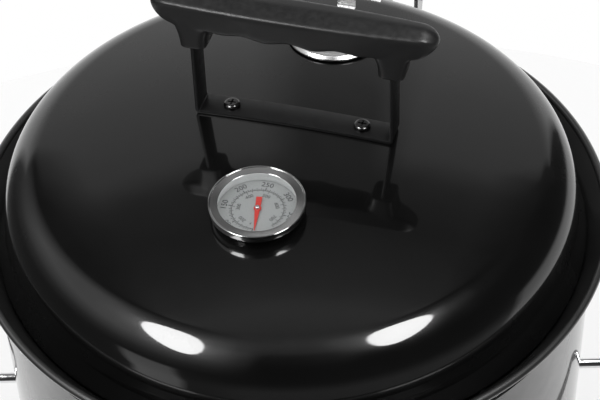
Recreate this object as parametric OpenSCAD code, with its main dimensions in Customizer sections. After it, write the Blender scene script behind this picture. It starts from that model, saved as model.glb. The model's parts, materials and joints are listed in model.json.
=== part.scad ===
// Vertical drum smoker: a domed lid hinged on a two-section barrel over a fire bowl on legs.
// Front is -Y, +Z is up, and the origin is on the floor under the barrel's axis.

/* [Barrel] */
// Outer radius of the barrel wall
wall_r = 217.4; // [200:0.1:240]
// Thickness of the barrel and lid sheet
sheet_t = 1.2; // [1:0.1:1.5]
// Height of the barrel's rim above the floor
rim_z = 720; // [700:5:760]
// Height of the joint between the upper and lower barrel sections
joint_z = 480; // [470:5:490]
// Height of the joint between the lower section and the fire bowl
bowl_z = 300; // [295:5:305]
// Height of the fire bowl's flat bottom
bowl_bottom_z = 165; // [160:5:175]

/* [Lid] */
// Outer radius of the lid's skirt
lid_r = 204.2; // [200:0.1:206]
// Radius of the shoulder's rounding
shoulder_r = 30.7; // [28:0.1:33]
// Radius of the sphere that the crown is part of
crown_r = 1360; // [1200:10:1500]
// Height of the top of the skirt above the rim plane
skirt_top = 34.2; // [33:0.1:36]

/* [Handle and thermometer] */
// Distance between the two legs of the lid handle's strap
strap_span = 145; // [140:1:150]
// Width of the strap
strap_w = 20; // [18:1:22]
// How far the strap sits behind the lid's centre
strap_y = 21; // [18:1:24]
// Length of the moulded grip
grip_len = 204; // [196:1:210]
// Radius of the thermometer's bezel
gauge_r = 33.2; // [32:0.1:34]
// How far the thermometer sits in front of the lid's centre
gauge_y = 76; // [74:1:78]

/* [Vents] */
// Radius of the lid's vent disc
vent_r = 34.5; // [33:0.5:38]
// How far the vent sits behind the lid's centre
vent_y = 123; // [121:1:125]
// Radius of each vent hole
vent_hole_r = 8; // [7:0.5:9]

/* [Door] */
// Half of the angle that the door opening spans
door_half_angle = 34; // [30:1:36]
// Height of the door opening
door_h = 112; // [100:2:120]

/* [Hidden] */

$fn = 96;

enamel = "#141414";
steel = "#b8b8b8";
chromed = "#d8d8d8";
moulding = "#1c1c1c";
big = 600;

wall_in_r = wall_r - sheet_t;
function arc(cx, cy, r, a0, a1, n = 12) =
    [for (i = [0:n]) let (a = a0 + (a1 - a0) * i / n) [cx + r * cos(a), cy + r * sin(a)]];

// Lid profile, in heights above the rim plane
shoulder_x = lid_r - shoulder_r;
crown_cz = skirt_top - sqrt(pow(crown_r - shoulder_r, 2) - pow(shoulder_x, 2));
crown_half = asin(shoulder_x / (crown_r - shoulder_r));
skirt_bottom = 18.7;
skirt_r = 206.7;
skirt_slant = acos(shoulder_r / norm([skirt_r - shoulder_x, skirt_top - skirt_bottom]))
    - atan2(skirt_top - skirt_bottom, skirt_r - shoulder_x);
hem_r = 2.2;
hem_x = 211.2;
hem_z = 1.5;

// Rim of the barrel, in heights above the rim plane
rim_bead_x = 227;
rim_bead_z = 12.5;
rim_bead_r = 3;
seat_x = 213.4;
swage_h = 8;

// Axis of the lid hinge, in the rim's frame
hinge_y = 247;
hinge_rise = 24;
hinge_knuckle_r = 7;
hinge_pin_r = 3;
leaf_half = 21;
ear_root_y = 216;
ear_x = 35;
ear_t = 3;
fit = 0.05;

// Vent holes lie on a circle about the vent's axis
vent_hole_ring = 19;
vent_holes = 4;

// Levels inside the barrel
upper_grate_z = rim_z - 55;
lower_grate_z = joint_z + 55;
water_pan_z = joint_z - 22;
charcoal_pan_z = bowl_z - 38;
level_drop = 11;
level_azimuths = [20, 140, 260];
water_pan_azimuths = [60, 180, 300];
leg_azimuths = [0, 120, 240];
spigot_h = 14;
spigot_gap = 0.4;

// Turns a shape modelled out along +X so that it faces that azimuth, counted from the front
module at_azimuth(a) rotate([0, 0, a - 90]) children();
// Puts a shape on the lid's crown at that distance behind the lid's centre and to its side
module on_crown(y, x = 0)
    translate([0, 0, rim_z + crown_cz])
        rotate([0, 0, atan2(y, x)])
            rotate([0, asin(norm([x, y]) / crown_r), 0])
                rotate([0, 0, -atan2(y, x)])
                    translate([0, 0, crown_r]) children();
module mirrored_x() {
    children();
    mirror([1, 0, 0]) children();
}
module ring_of(azimuths) for (a = azimuths) at_azimuth(a) children();
module tube(r, t, h) difference() {
    cylinder(r = r, h = h);
    translate([0, 0, -1]) cylinder(r = r - t, h = h + 2);
}
// A pan-head screw along -Z, with its head standing on z = 0
module pan_screw(r, len, head_r, head_h, cross = true) difference() {
    union() {
        translate([0, 0, -len]) cylinder(r = r, h = len);
        rotate_extrude() polygon(concat([[0, 0], [head_r, 0], [head_r, head_h * 0.4]],
            arc(head_r - head_h * 0.6, head_h * 0.4, head_h * 0.6, 0, 90, 6), [[0, head_h]]));
    }
    if (cross) for (a = [0, 90]) rotate([0, 0, a])
        translate([-head_r * 0.5, -head_r * 0.1, head_h * 0.35])
            cube([head_r, head_r * 0.2, head_h]);
}
module hex_nut(r, bore, h) difference() {
    cylinder(r = r, h = h, $fn = 6);
    translate([0, 0, -1]) cylinder(r = bore, h = h + 2);
}

// ---- Lid ----
function lid_line(d) = concat(
    [for (i = [0:12]) let (a = crown_half * i / 12)
        [(crown_r - d) * sin(a), crown_cz + (crown_r - d) * cos(a)]],
    arc(shoulder_x, skirt_top, shoulder_r - d, 90 - crown_half, skirt_slant, 24),
    [[skirt_r - d, skirt_bottom]]);
function flipped(v) = [for (i = [len(v) - 1:-1:0]) v[i]];
module lid_solid(d = 0) translate([0, 0, rim_z])
    rotate_extrude($fn = 180)
        polygon(concat([[0, 0]], lid_line(d), [[hem_x + hem_r - d, 3], [hem_x + hem_r - d, 0]]));
module lid_skin() translate([0, 0, rim_z]) rotate_extrude($fn = 180)
    polygon(concat(lid_line(0), arc(hem_x, hem_z, hem_r, 22, -275, 24), flipped(lid_line(sheet_t))));
module vent_cutters(r, ring) {
    for (i = [0:vent_holes - 1]) rotate([0, 0, i * 360 / vent_holes + 45])
        translate([ring, 0, -10]) cylinder(r = r, h = 20, $fn = 48);
}
strap_t = 2.5;
plate_screw_x = 47.8;
module lid_shell() color(enamel) difference() {
    lid_skin();
    on_crown(vent_y) {
        vent_cutters(vent_hole_r, vent_hole_ring);
        translate([0, 0, -10]) cylinder(r = 3.1, h = 20);
    }
    on_crown(-gauge_y) translate([0, 0, -10]) cylinder(r = 5.1, h = 20);
    mirrored_x() on_crown(strap_y, plate_screw_x) translate([0, 0, -10]) cylinder(r = 3.1, h = 20);
    leaf_screw_places() translate([0, 0, -10]) cylinder(r = 2.6, h = 20);
}

// ---- Lid hinge ----
leaf_t = 2.5;
leaf_screw_tilt = 48;
leaf_screw_x = 12;
// Axes of the leaf's two screws, square to the shoulder
module leaf_screw_places() for (s = [-1, 1]) translate([0, 0, rim_z])
    rotate([0, 0, 90 - s * asin(leaf_screw_x / lid_r)])
        translate([shoulder_x, 0, skirt_top]) rotate([0, leaf_screw_tilt, 0])
            translate([0, 0, shoulder_r]) children();
module lid_hinge_leaf() color(steel) difference() {
    union() {
        intersection() {
            translate([0, 0, rim_z]) rotate_extrude($fn = 180) polygon(concat(
                arc(shoulder_x, skirt_top, shoulder_r + leaf_t, 68, 12, 14),
                flipped(arc(shoulder_x, skirt_top, shoulder_r, 68, 12, 14))));
            translate([-leaf_half, 0, rim_z]) cube([2 * leaf_half, big, 100]);
        }
        difference() {
            translate([-leaf_half, 0, rim_z]) rotate([90, 0, 90])
                linear_extrude(height = 2 * leaf_half)
                    polygon([[shoulder_x + 26, skirt_top + 12], [lid_r + 6, skirt_top + 6],
                        [hinge_y, hinge_rise + 6.9], [hinge_y, hinge_rise + 3.9],
                        [lid_r + 4, skirt_top + 2], [lid_r - 4, skirt_top + 2]]);
            lid_solid();
        }
        translate([-leaf_half, hinge_y, rim_z + hinge_rise]) rotate([0, 90, 0])
            cylinder(r = hinge_knuckle_r, h = 2 * leaf_half);
    }
    translate([-big / 2, hinge_y, rim_z + hinge_rise]) rotate([0, 90, 0])
        cylinder(r = hinge_pin_r + fit, h = big);
    leaf_screw_places() translate([0, 0, -10]) cylinder(r = 2.6, h = 30);
}
module lid_hinge_screws() color(steel) leaf_screw_places() {
    translate([0, 0, leaf_t]) pan_screw(2.5, 12, 4.8, 3);
    translate([0, 0, -sheet_t - 4.3]) hex_nut(4.6, 2.5, 4);
}
// The bracket's outline in Y and Z, above the rim plane
module ear_outline() polygon(concat(
    [[ear_root_y, -62], [wall_r + 16, -62], [hinge_y + 9, hinge_rise - 14]],
    arc(hinge_y, hinge_rise, 9, 0, 180, 16),
    [[hinge_y - 9, 8], [wall_r + 17, -4], [wall_r + 10, -14], [ear_root_y, -16]]));
module lid_hinge_bracket() color(steel) difference() {
    union() {
        mirrored_x() translate([ear_x, 0, rim_z]) rotate([90, 0, 90])
            linear_extrude(height = ear_t) ear_outline();
        intersection() {
            translate([0, 0, rim_z - 62]) tube(wall_r + 3, 3, 46);
            translate([-ear_x - 20, 0, rim_z - 80]) cube([2 * ear_x + 40, big, 80]);
        }
    }
    translate([-big / 2, hinge_y, rim_z + hinge_rise]) rotate([0, 90, 0])
        cylinder(r = hinge_pin_r, h = big);
    bracket_bolt_places() translate([0, 0, -10]) cylinder(r = 3.1, h = 20);
}
module bracket_bolt_places() for (s = [-1, 1], z = [-52, -26]) translate([0, 0, rim_z + z])
    at_azimuth(180 + s * 5.5) translate([wall_r + 3, 0, 0]) rotate([0, 90, 0]) children();
module hinge_bracket_bolts() color(steel) bracket_bolt_places() {
    pan_screw(3, 10.4, 5.5, 3.4);
    translate([0, 0, -3 - sheet_t - 5.2]) hex_nut(5.6, 3, 5);
}
module lid_hinge_pin() color(steel) translate([0, hinge_y, rim_z + hinge_rise]) {
    rotate([0, 90, 0]) translate([0, 0, -ear_x - ear_t]) cylinder(r = hinge_pin_r, h = 2 * ear_x + 2 * ear_t);
    mirrored_x() rotate([0, 90, 0]) translate([0, 0, ear_x + ear_t])
        cylinder(r = hinge_pin_r + 1.8, h = 2.5);
}

// ---- Lid handle ----
strap_top = 170;
leg_x = strap_span / 2;
module handle_strap() color(moulding) difference() {
    union() {
        intersection() {
            translate([0, 0, rim_z + crown_cz]) difference() {
                sphere(r = crown_r + strap_t, $fn = 180);
                sphere(r = crown_r, $fn = 180);
            }
            translate([-leg_x, strap_y - strap_w / 2, rim_z + 40]) cube([strap_span, strap_w, 60]);
        }
        difference() {
            mirrored_x() translate([leg_x - strap_t, strap_y - strap_w / 2, rim_z + 60])
                cube([strap_t, strap_w, strap_top - 60]);
            translate([0, 0, rim_z + crown_cz]) sphere(r = crown_r, $fn = 180);
        }
    }
    mirrored_x() on_crown(strap_y, plate_screw_x) translate([0, 0, -10]) cylinder(r = 3.1, h = 20);
    mirrored_x() grip_screw_place() translate([0, 0, -12]) cylinder(r = 1.8, h = 20);
}
module handle_plate_screws() color(moulding) mirrored_x() on_crown(strap_y, plate_screw_x)
    translate([0, 0, strap_t]) pan_screw(3, 14, 6, 3.6);
module handle_plate_nuts() color(steel) mirrored_x() on_crown(strap_y, plate_screw_x)
    translate([0, 0, -sheet_t - 5.2]) hex_nut(5.8, 3, 5);

grip_w = 31;
grip_low = 137;
grip_under = 153;
grip_top = 179;
grip_end = grip_len / 2;
grip_end_r = 11;
socket_half = 11;
finger_r = 15;
finger_pitch = 34;
// The grip's outline seen from the front, above the rim plane
module grip_outline() difference() {
    polygon(concat(
        [[-leg_x - socket_half, grip_under + 2], [-leg_x - socket_half + 3, grip_low],
            [-leg_x + socket_half - 3, grip_low], [-leg_x + socket_half + 6, grip_under],
            [leg_x - socket_half - 6, grip_under], [leg_x - socket_half + 3, grip_low],
            [leg_x + socket_half - 3, grip_low], [leg_x + socket_half, grip_under + 2]],
        arc(grip_end - grip_end_r, grip_top - 1 - grip_end_r, grip_end_r, -90, 90, 14),
        [[40, grip_top], [-40, grip_top]],
        arc(-grip_end + grip_end_r, grip_top - 1 - grip_end_r, grip_end_r, 90, 270, 14)));
    for (i = [-1:1]) translate([i * finger_pitch, grip_under - finger_r + 2]) circle(r = finger_r);
}
// The same grip seen from its end
module grip_section() {
    translate([0, grip_top - grip_w / 2]) circle(r = grip_w / 2);
    polygon([[-grip_w / 2 + 0.2, grip_top - grip_w / 2], [-12.5, grip_low], [12.5, grip_low],
        [grip_w / 2 - 0.2, grip_top - grip_w / 2]]);
}
module handle_grip() color(moulding) difference() {
    intersection() {
        translate([0, strap_y + grip_w / 2, rim_z]) rotate([90, 0, 0])
            linear_extrude(height = grip_w) grip_outline();
        translate([-big / 2, strap_y, rim_z]) rotate([90, 0, 90])
            linear_extrude(height = big) grip_section();
    }
    mirrored_x() translate([leg_x - strap_t, strap_y - strap_w / 2, rim_z + 60])
        cube([strap_t, strap_w, strap_top - 60]);
    mirrored_x() grip_screw_place() {
        translate([0, 0, -14]) cylinder(r = 1.8, h = 40);
        translate([0, 0, 3]) cylinder(r = 4.2, h = 20);
    }
}
grip_screw_z = 161;
grip_screw_inset = 8;
// A screw along X from each end of the grip through the strap's leg
module grip_screw_place() translate([leg_x, strap_y, rim_z + grip_screw_z]) rotate([0, 90, 0])
    translate([0, 0, grip_screw_inset]) children();
module grip_screws() color(steel) mirrored_x() grip_screw_place()
    translate([0, 0, 3]) pan_screw(1.8, 16, 3.6, 2.2);

// ---- Thermometer ----
gauge_h = 11;
dial_r = 27.4;
dial_z = 2.6;
needle_z = 3.8;
needle_angle = 9.8;
lens_z = 8;
bezel_in_r = 26.6;
module gauge_case() color(steel) on_crown(-gauge_y) rotate_extrude()
    polygon(concat([[5, 0.6], [gauge_r - 5, 0.6], [gauge_r - 2.2, 3], [gauge_r - 1.2, 6]],
        arc(gauge_r - 1.4, gauge_h - 1.4, 1.4, 0, 90, 8),
        [[gauge_r - 2, gauge_h - 0.4], [bezel_in_r, gauge_h - 0.8], [bezel_in_r, lens_z + 1.6],
            [dial_r + 0.4, lens_z + 1.6], [dial_r + 0.4, dial_z - 0.6], [5, dial_z - 0.6]]));
module gauge_lens() color("white", 0.3) on_crown(-gauge_y) translate([0, 0, lens_z])
    cylinder(r = dial_r + 0.4, h = 1.6);
module gauge_dial() color("white") on_crown(-gauge_y) translate([0, 0, dial_z - 0.6]) difference() {
    cylinder(r = dial_r, h = 0.6);
    translate([0, 0, -1]) cylinder(r = 1.3, h = 3);
}
module gauge_needle() color("red") on_crown(-gauge_y) rotate([0, 0, needle_angle]) {
    translate([0, 0, needle_z - 0.4]) linear_extrude(height = 0.4)
        polygon([[-2.1, 10.7], [2.1, 10.7], [1.6, -4], [0.25, -20], [-0.25, -20], [-1.6, -4]]);
    translate([0, 0, dial_z - 1.4]) cylinder(r = 1.2, h = 2.4);
    translate([0, 0, needle_z - 0.4]) cylinder(r = 2.6, h = 0.7);
}
stem_len = 62;
module gauge_stem() color(steel) on_crown(-gauge_y) {
    translate([0, 0, -stem_len]) cylinder(r = 2.6, h = stem_len - 8);
    translate([0, 0, -8.5]) cylinder(r = 5, h = 9.5);
}
module gauge_nut() color(steel) on_crown(-gauge_y) translate([0, 0, -sheet_t - 6.2]) {
    hex_nut(9.2, 5, 6);
    for (a = [0, 180]) rotate([0, 0, a]) translate([7.5, -1, -3]) cube([7, 2, 8]);
}

// ---- Top vent ----
module vent_damper() color(steel) on_crown(vent_y) translate([0, 0, 0.4]) difference() {
    union() {
        rotate_extrude() polygon([[3.1, 3], [12, 3], [13, 0], [vent_r - 7.2, 0], [vent_r - 5.6, 1.8],
            [vent_r - 3, 2.2], [vent_r - 1, 0.2], [vent_r, 0.4], [vent_r, 1.4], [vent_r - 2.4, 3.6],
            [vent_r - 6.4, 3.2], [vent_r - 7.8, 1.2], [13.8, 1.2], [12.8, 4.2], [3.1, 4.2]]);
        rotate([0, 0, 90]) translate([vent_r - 6, -7, 2.2]) {
            cube([9, 14, 1.2]);
            translate([7.8, 0, 0]) cube([1.2, 14, 12]);
        }
    }
    vent_cutters(vent_hole_r - 0.5, vent_hole_ring);
}
module vent_rivet() color(steel) on_crown(vent_y) {
    translate([0, 0, -sheet_t - 2.1]) cylinder(r = 3, h = sheet_t + 7.1);
    translate([0, 0, 4.9]) intersection() {
        cylinder(r = 6, h = 3);
        translate([0, 0, -6.2]) sphere(r = 8.6);
    }
    translate([0, 0, -sheet_t - 2.1]) cylinder(r = 6, h = 2);
}

// ---- Barrel sections ----
function spigot(z) = [[wall_r, z], [wall_in_r - spigot_gap, z], [wall_in_r - spigot_gap, z + spigot_h],
    [wall_in_r - spigot_gap - sheet_t, z + spigot_h], [wall_in_r - spigot_gap - sheet_t, z - 12],
    [wall_in_r, z - 15]];
module foot_bead(z) translate([wall_r, z + 2]) circle(r = 2, $fn = 32);
module level_holes(z, azimuths = level_azimuths) ring_of(azimuths)
    translate([wall_r - 12, 0, z - level_drop]) rotate([0, 90, 0]) cylinder(r = 2.6, h = 24);
module upper_barrel() color(enamel) difference() {
    rotate_extrude($fn = 180) {
        polygon([[wall_r, joint_z], [wall_r, rim_z - swage_h - 5], [wall_r - 0.8, rim_z - swage_h],
            [seat_x + sheet_t, rim_z - 2], [seat_x + sheet_t + 0.4, rim_z],
            [rim_bead_x + 0.6, rim_z + rim_bead_z - 1], [rim_bead_x - 0.6, rim_z + rim_bead_z],
            [seat_x, rim_z], [seat_x, rim_z - 2], [wall_in_r - 0.8, rim_z - swage_h - 0.6],
            [wall_in_r, rim_z - swage_h - 5], [wall_in_r, joint_z]]);
        translate([rim_bead_x, rim_z + rim_bead_z]) circle(r = rim_bead_r, $fn = 32);
        intersection() {
            foot_bead(joint_z);
            translate([wall_in_r, 0]) square([20, big * 2]);
        }
    }
    level_holes(upper_grate_z);
    level_holes(lower_grate_z);
    bracket_bolt_places() translate([0, 0, -16]) cylinder(r = 3.1, h = 20);
    mirrored_x() side_handle_legs(side_rod_r + 0.1);
    mirrored_x() keeper_rivet_places() translate([0, 0, -6]) cylinder(r = 1.8, h = 12);
}
module lower_barrel() color(enamel) difference() {
    rotate_extrude($fn = 180) {
        polygon(concat([[wall_r, bowl_z]], spigot(joint_z), [[wall_in_r, bowl_z]]));
        intersection() {
            foot_bead(bowl_z);
            translate([wall_in_r, 0]) square([20, big * 2]);
        }
    }
    door_sector(door_half_angle, door_h, wall_r - 20, wall_r + 20);
    level_holes(water_pan_z, water_pan_azimuths);
    door_rivet_places(barrel_side = true) translate([0, 0, -6]) cylinder(r = 1.8, h = 12);
    mirrored_x() plate_rivet_places() translate([0, 0, -6]) cylinder(r = 1.8, h = 12);
}
bowl_corner = 58;
function bowl_line(d) = concat(
    arc(wall_r - bowl_corner, bowl_bottom_z + bowl_corner, bowl_corner - d, 0, -90, 20),
    [[0, bowl_bottom_z + d]]);
module fire_bowl() color(enamel) difference() {
    rotate_extrude($fn = 180)
        polygon(concat(bowl_line(0), flipped(bowl_line(sheet_t)), flipped(spigot(bowl_z))));
    translate([0, 0, bowl_bottom_z]) {
        vent_cutters(vent_hole_r, vent_hole_ring);
        translate([0, 0, -10]) cylinder(r = 3.1, h = 20);
    }
    level_holes(charcoal_pan_z);
    leg_bolt_places() translate([0, 0, -16]) cylinder(r = 3.1, h = 24);
}

// ---- Side handles ----
side_rod_r = 4;
side_z = rim_z - 171;
side_half = acos(24 / 25);
side_reach = 262.5;
bend_r = 15;
module side_handle_legs(r) for (s = [-1, 1]) translate([0, 0, side_z]) rotate([0, 0, s * side_half])
    rotate([0, 90, 0]) translate([0, 0, wall_r - 14]) cylinder(r = r, h = 24);
// The rod leaves the wall square to it, bends round and runs straight across to its other leg.
// The 7-24-25 triangle behind side_half lets each bend end square to its leg in whole numbers.
module side_rod() {
    bar_x = side_reach * cos(side_half);
    turn = 90 + side_half;
    tangent = bend_r * tan(turn / 2);
    bar_half = side_reach * sin(side_half) - tangent;
    translate([0, 0, side_z]) {
        for (s = [0, 1]) mirror([0, s, 0]) {
            rotate([0, 0, side_half]) rotate([0, 90, 0]) translate([0, 0, wall_r - 8.2])
                cylinder(r = side_rod_r, h = side_reach - tangent - wall_r + 8.2);
            translate([bar_x - bend_r, bar_half, 0]) intersection() {
                rotate_extrude() translate([bend_r, 0]) circle(r = side_rod_r, $fn = 48);
                translate([0, 0, -10]) linear_extrude(height = 20)
                    polygon([[0, 0], [50, 0], [50, 48], [-14, 48]]);
            }
        }
        translate([bar_x, bar_half, 0]) rotate([90, 0, 0]) cylinder(r = side_rod_r, h = 2 * bar_half);
    }
}
flange_r = 8.5;
flange_t = 3;
module side_handle() color(chromed) {
    side_rod();
    for (s = [-1, 1]) translate([0, 0, side_z]) rotate([0, 0, s * side_half])
        rotate([0, 90, 0]) translate([0, 0, wall_r]) tube(flange_r, flange_r - side_rod_r - fit, flange_t);
}
module side_handle_right() side_handle();
module side_handle_left() mirror([1, 0, 0]) side_handle();
module side_handle_nuts() color(steel) mirrored_x() for (s = [-1, 1])
    translate([0, 0, side_z]) rotate([0, 0, s * side_half]) rotate([0, 90, 0])
        translate([0, 0, wall_in_r - 6.7]) hex_nut(7.4, side_rod_r, 6.5);

// ---- Draw latches, modelled on the +X side ----
latch_out = 9;
latch_drop = 30;
latch_pin_r = 2;
ear_gap = 9;
loop_arm = 9;
loop_offset = 1.5;
loop_drop = sqrt(loop_arm * loop_arm - loop_offset * loop_offset);
loop_wire_r = 1.6;
loop_half = 13.4;
loop_top = 29;
lever_len = 50;
hook_floor = 27.1;
module on_side_wall() difference() {
    children();
    translate([0, 0, bowl_z]) cylinder(r = wall_r, h = rim_z - bowl_z, $fn = 180);
}
module plate_rivet_places() for (z = [-46, -70]) translate([wall_r + 2, 0, joint_z + z])
    rotate([0, 90, 0]) children();
module keeper_rivet_places() for (y = [-5, 5]) translate([wall_r + 2, y, joint_z + 46])
    rotate([0, 90, 0]) children();
module latch_plates() color(steel) mirrored_x() difference() {
    union() {
        on_side_wall() translate([wall_r - 1, -ear_gap - 4, joint_z - 80]) cube([3, 2 * ear_gap + 8, 62]);
        for (y = [-ear_gap - 2, ear_gap]) translate([0, y + 2, 0]) rotate([90, 0, 0])
            linear_extrude(height = 2) {
                translate([wall_r + latch_out, joint_z - latch_drop]) circle(r = 4.6, $fn = 32);
                translate([wall_r + 1, joint_z - latch_drop - 4.6]) square([latch_out - 1, 9.2]);
            }
    }
    translate([wall_r + latch_out, big / 2, joint_z - latch_drop]) rotate([90, 0, 0])
        cylinder(r = latch_pin_r, h = big);
    plate_rivet_places() translate([0, 0, -10]) cylinder(r = 1.8, h = 20);
}
module latch_pins() color(steel) mirrored_x()
    translate([wall_r + latch_out, 0, joint_z - latch_drop]) {
        rotate([90, 0, 0]) translate([0, 0, -ear_gap - 2]) cylinder(r = latch_pin_r, h = 2 * ear_gap + 4);
        for (s = [0, 1]) mirror([0, s, 0]) translate([0, ear_gap + 2.6, 0]) rotate([90, 0, 0])
            cylinder(r = latch_pin_r + 1, h = 0.6);
    }
module latch_keepers() color(steel) mirrored_x() difference() {
    union() {
        on_side_wall() translate([wall_r - 1, -10, joint_z + 24]) cube([3, 20, 28]);
        translate([wall_r + 1.5, -9, joint_z + hook_floor - 2]) cube([10, 18, 2]);
        translate([wall_r + 9.5, -9, joint_z + hook_floor - 2]) cube([2, 18, 6]);
    }
    keeper_rivet_places() translate([0, 0, -10]) cylinder(r = 1.8, h = 20);
}
module rivet(len) {
    translate([0, 0, -len]) cylinder(r = 1.8, h = len);
    intersection() {
        translate([0, 0, -2.2]) sphere(r = 3.8, $fn = 48);
        cylinder(r = 4, h = 4);
    }
    translate([0, 0, -len]) cylinder(r = 2.8, h = 1.2);
}
module latch_rivets() color(steel) mirrored_x() {
    plate_rivet_places() rivet(2 + sheet_t + 1.5);
    keeper_rivet_places() rivet(2 + sheet_t + 1.5);
}
module latch_lever() color(steel) translate([wall_r + latch_out, 0, joint_z - latch_drop])
    difference() {
        union() {
            for (y = [-8.4, 6.4]) translate([0, y + 2, 0]) rotate([90, 0, 0])
                linear_extrude(height = 2) polygon([[-3.4, 3], [2, 4.2], [4.6, 2], [4.6, 4 - lever_len],
                    [1.5, 10 - lever_len], [0, -16], [-4.6, -12.2], [-4.6, -3]]);
            translate([3, -7.4, 3.5 - lever_len]) cube([1.6, 14.8, lever_len - 2.5]);
            translate([3.2, -7, 4.8 - lever_len]) rotate([0, 50, 0]) cube([11, 14, 1.6]);
        }
        translate([0, big / 2, 0]) rotate([90, 0, 0]) cylinder(r = latch_pin_r + fit, h = big);
        translate([-loop_offset, big / 2, -loop_drop]) rotate([90, 0, 0])
            cylinder(r = loop_wire_r + fit, h = big);
    }
loop_bend = 3;
// One side of the loop: half of the lower bar's bend, the leg and the upper bend
module loop_side(rise) {
    translate([0, loop_half, loop_bend]) cylinder(r = loop_wire_r, h = rise - 2 * loop_bend, $fn = 48);
    for (s = [0, 1]) translate([0, 0, s * rise]) mirror([0, 0, 1 - s])
        translate([0, loop_half - loop_bend, -loop_bend]) rotate([90, 0, 90])
            rotate_extrude(angle = 90) translate([loop_bend, 0]) circle(r = loop_wire_r, $fn = 48);
}
module latch_loop() color(chromed)
    translate([wall_r + latch_out - loop_offset, 0, joint_z - latch_drop - loop_drop]) {
        rise = loop_top + latch_drop + loop_drop;
        rotate([0, -atan2(0.5, rise), 0]) {
            for (s = [0, 1]) mirror([0, s, 0]) loop_side(rise);
            for (z = [0, rise]) translate([0, loop_half - loop_bend, z]) rotate([90, 0, 0])
                cylinder(r = loop_wire_r, h = 2 * (loop_half - loop_bend), $fn = 48);
        }
    }
module latch_lever_right() latch_lever();
module latch_lever_left() mirror([1, 0, 0]) latch_lever();
module latch_loop_right() latch_loop();
module latch_loop_left() mirror([1, 0, 0]) latch_loop();

// ---- Door in the lower section ----
door_z = 390;
door_gap = 0.6;
door_overlap = 3.5;
door_lip = 8;
door_hinge_az = -door_half_angle - 7.5;
door_hinge_out = wall_r + 7;
door_hinge_r = 4.5;
door_pin_r = 2.2;
door_hinge_zs = [-38, 38];
leaf_h = 26;
// A curved block facing the front, from one angle and radius to another, centred on the door's height
module sector(a0, a1, h, r0, r1, z = 0) translate([0, 0, door_z + z - h / 2])
    rotate([0, 0, a0 - 90]) rotate_extrude(angle = a1 - a0, $fn = 180) translate([r0, 0]) square([r1 - r0, h]);
module door_sector(half, h, r0, r1) sector(-half, half, h, r0, r1);
module door_hinge_axis() translate([door_hinge_out * sin(door_hinge_az), -door_hinge_out * cos(door_hinge_az), 0])
    children();
door_knob_az = 27;
door_out = wall_r + door_gap + sheet_t;
module door_rivet_places(barrel_side) for (z = door_hinge_zs, dz = [-8, 8])
    translate([0, 0, door_z + z + dz]) at_azimuth(barrel_side ? door_hinge_az - 7 : door_hinge_az + 11)
        translate([barrel_side ? wall_r + 1.6 : door_out + 1.6, 0, 0]) rotate([0, 90, 0]) children();
module door_handle_places() for (dz = [-32, 32]) translate([0, 0, door_z + dz])
    at_azimuth(door_knob_az) translate([door_out, 0, 0]) rotate([0, 90, 0]) children();
module door_panel() color(enamel) difference() {
    union() {
        door_sector(door_half_angle + door_overlap, door_h + 24, wall_r + door_gap, door_out);
        difference() {
            door_sector(door_half_angle - 0.8, door_h - 4, wall_r - door_lip, wall_r + door_gap + 0.5);
            door_sector(door_half_angle - 1.2, door_h - 6.4, wall_r - 20, wall_r + 20);
        }
    }
    door_rivet_places(false) translate([0, 0, -6]) cylinder(r = 1.8, h = 12);
    door_handle_places() translate([0, 0, -6]) cylinder(r = 2.6, h = 12);
}
// A bent rod handle that stands off the door on two legs
handle_reach = 30;
module door_handle() color(chromed) at_azimuth(door_knob_az)
    translate([door_out, 0, door_z]) for (s = [0, 1]) mirror([0, 0, s]) {
        translate([0, 0, 32]) rotate([0, 90, 0]) cylinder(r = 4, h = handle_reach - 10);
        translate([handle_reach - 10, 0, 22]) rotate([90, 0, 0]) rotate_extrude(angle = 90)
            translate([10, 0]) circle(r = 4, $fn = 48);
        translate([handle_reach, 0, -0.01]) cylinder(r = 4, h = 22.01);
    }
module door_handle_screws() color(steel) door_handle_places() rotate([180, 0, 0])
    translate([0, 0, sheet_t + 0.1]) intersection() {
        pan_screw(2.5, sheet_t + 0.01, 4.6, 3);
        translate([0, 0, -sheet_t]) cylinder(r = 20, h = 20);
    }
module knuckle(z) translate([0, 0, door_z + z]) difference() {
    cylinder(r = door_hinge_r, h = leaf_h / 2 - 0.6);
    translate([0, 0, -1]) cylinder(r = door_pin_r + fit, h = leaf_h);
}
module clear_of_pins() difference() {
    children();
    door_hinge_axis() translate([0, 0, door_z - 100]) cylinder(r = door_hinge_r - 0.5, h = 200);
}
module door_hinge_leaves() color(steel) difference() {
    for (z = door_hinge_zs) {
        difference() {
            sector(door_hinge_az + 0.3, door_hinge_az + 14.5, leaf_h, door_out, door_out + 1.6, z);
            sector(door_hinge_az - 1, door_hinge_az + 4, leaf_h / 2 + 1.2,
                door_out - 1, door_out + 3, z - leaf_h / 4 - 0.4);
        }
        door_hinge_axis() knuckle(z + 0.4);
    }
    door_rivet_places(false) translate([0, 0, -6]) cylinder(r = 1.8, h = 12);
}
module barrel_hinge_leaves() color(steel) difference() {
    for (z = door_hinge_zs) {
        sector(door_hinge_az - 10.5, door_hinge_az - 2.5, leaf_h, wall_r, wall_r + 1.6, z);
        clear_of_pins() sector(door_hinge_az - 4, door_hinge_az, leaf_h / 2 - 0.2,
            wall_r, wall_r + 5.4, z - leaf_h / 4 - 0.1);
        door_hinge_axis() knuckle(z - leaf_h / 2 + 0.2);
    }
    door_rivet_places(true) translate([0, 0, -6]) cylinder(r = 1.8, h = 12);
}
module door_hinge_pins() color(steel) door_hinge_axis() for (z = door_hinge_zs)
    translate([0, 0, door_z + z - leaf_h / 2 - 1.6]) {
        cylinder(r = door_pin_r, h = leaf_h + 2.4);
        cylinder(r = door_pin_r + 1.6, h = 1.4);
    }
module door_rivets() color(steel) door_rivet_places(true) rivet(1.6 + sheet_t + 1.5);
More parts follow.
